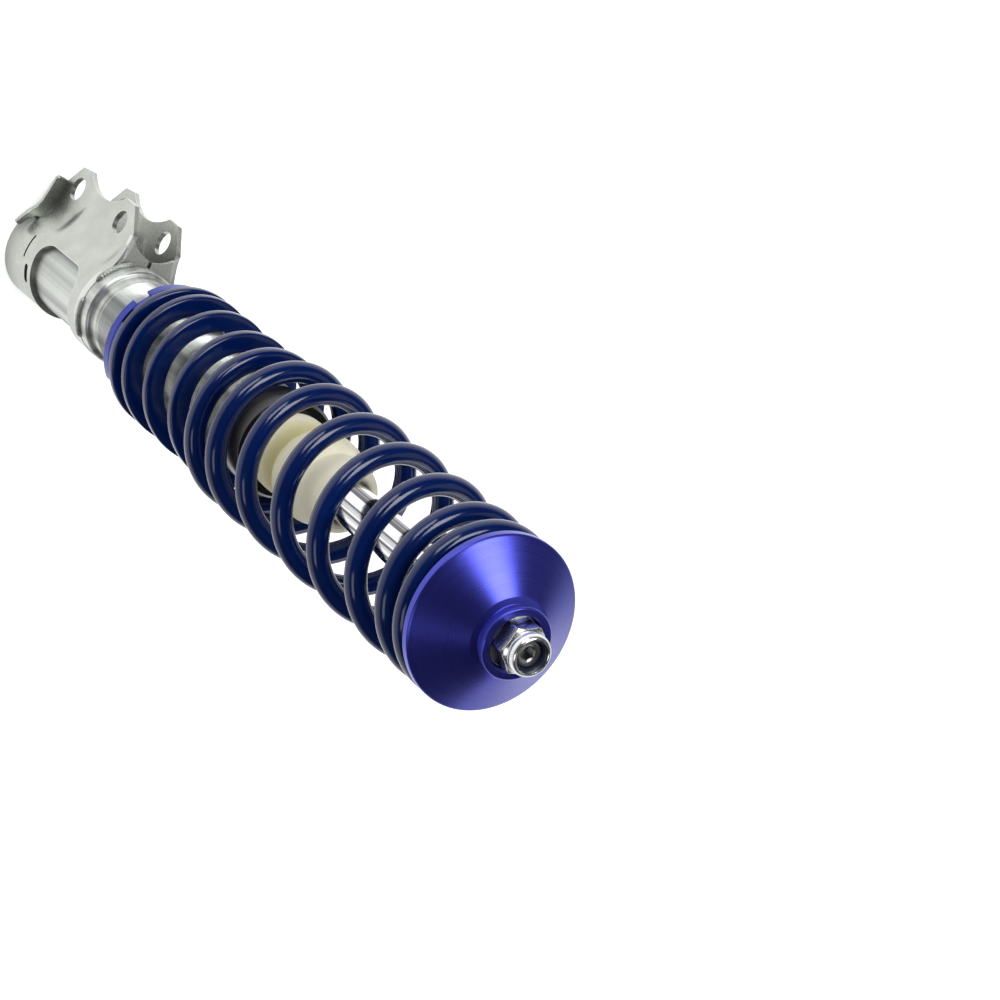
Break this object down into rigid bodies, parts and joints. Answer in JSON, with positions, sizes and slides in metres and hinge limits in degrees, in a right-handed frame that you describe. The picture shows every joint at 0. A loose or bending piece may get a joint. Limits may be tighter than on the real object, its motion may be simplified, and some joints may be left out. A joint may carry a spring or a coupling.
{
  "type": "suspension strut",
  "caption": "Height-adjustable suspension strut: threaded damper, coil spring on a screw perch with lock ring, conical upper seat and a bolted knuckle bracket.",
  "frame": {"origin": "middle of the two knuckle bolts, in the mid-plane between the ears", "axes": "+Z along the strut to the rod end, +X from the strut axis to the ear tips, Y along the knuckle bolts"},
  "size_m": [0.0981, 0.0882, 0.5479],
  "materials": {
    "bright_tube": "bright zinc plate",
    "zinc_sheet": "satin zinc plate",
    "weld": "zinc plated weld bead",
    "raw_steel": "machined",
    "chrome_rod": "polished hard chrome",
    "sintered": "sintered iron",
    "guide_alloy": "machined",
    "bronze": "plain bearing",
    "black_rubber": "matt",
    "black_cap": "gloss black",
    "blue_anodised": "satin blue-violet anodised",
    "spring_paint": "gloss dark blue powder coat",
    "cream_foam": "matt microcellular foam",
    "zinc_nut": "bright zinc plate",
    "nylon": "satin",
    "ptfe_band": "filled band"
  },
  "bodies": {
    "damper_body": {"strut_tube": "bright_tube", "base_cap": "zinc_sheet", "knuckle_bracket": "zinc_sheet", "bracket_welds": "weld", "pressure_tube": "raw_steel", "base_valve": "sintered", "rod_guide": "guide_alloy", "guide_bush": "bronze", "rod_seal": "black_rubber", "gland_cap": "black_cap", "rod_wiper": "black_rubber"},
    "spring": {"coil_spring": "spring_paint"},
    "perch": {"spring_perch": "blue_anodised"},
    "locking": {"lock_ring": "blue_anodised"},
    "rod": {"piston_rod": "chrome_rod", "rebound_stop": "black_rubber", "piston": "sintered", "piston_band": "ptfe_band", "piston_nut": "raw_steel", "upper_spring_seat": "blue_anodised", "seat_washer": "zinc_nut", "top_nut": "zinc_nut", "nut_insert": "nylon"},
    "bumper": {"bump_stop": "cream_foam"}
  },
  "joints": [
    {"name": "height_adjust", "type": "slide", "parent": "damper_body", "child": "spring", "axis": [0, 0, 1], "range_m": [-0.01, 0.03]},
    {"name": "perch_turn", "type": "hinge", "parent": "spring", "child": "perch", "pos_m": [-0.041, 0, 0.115], "axis": [0, 0, 1], "range_deg": [-2400, 7200]},
    {"name": "lock_ring_turn", "type": "hinge", "parent": "perch", "child": "locking", "pos_m": [-0.041, 0, 0.10875], "axis": [0, 0, 1], "range_deg": [-60, 0]},
    {"name": "rod_slide", "type": "slide", "parent": "spring", "child": "rod", "axis": [0, 0, 1], "range_m": [-0.1, 0], "stiffness_N_per_m": 30000, "springref_m": 0.002, "deforming": ["coil_spring"]},
    {"name": "bump_stop_slide", "type": "slide", "parent": "damper_body", "child": "bumper", "axis": [0, 0, 1], "range_m": [0, 0.02]}
  ],
  "couplings": [
    {"joint": "perch_turn", "follows": "height_adjust", "rad_per_m": 4188.8}
  ]
}
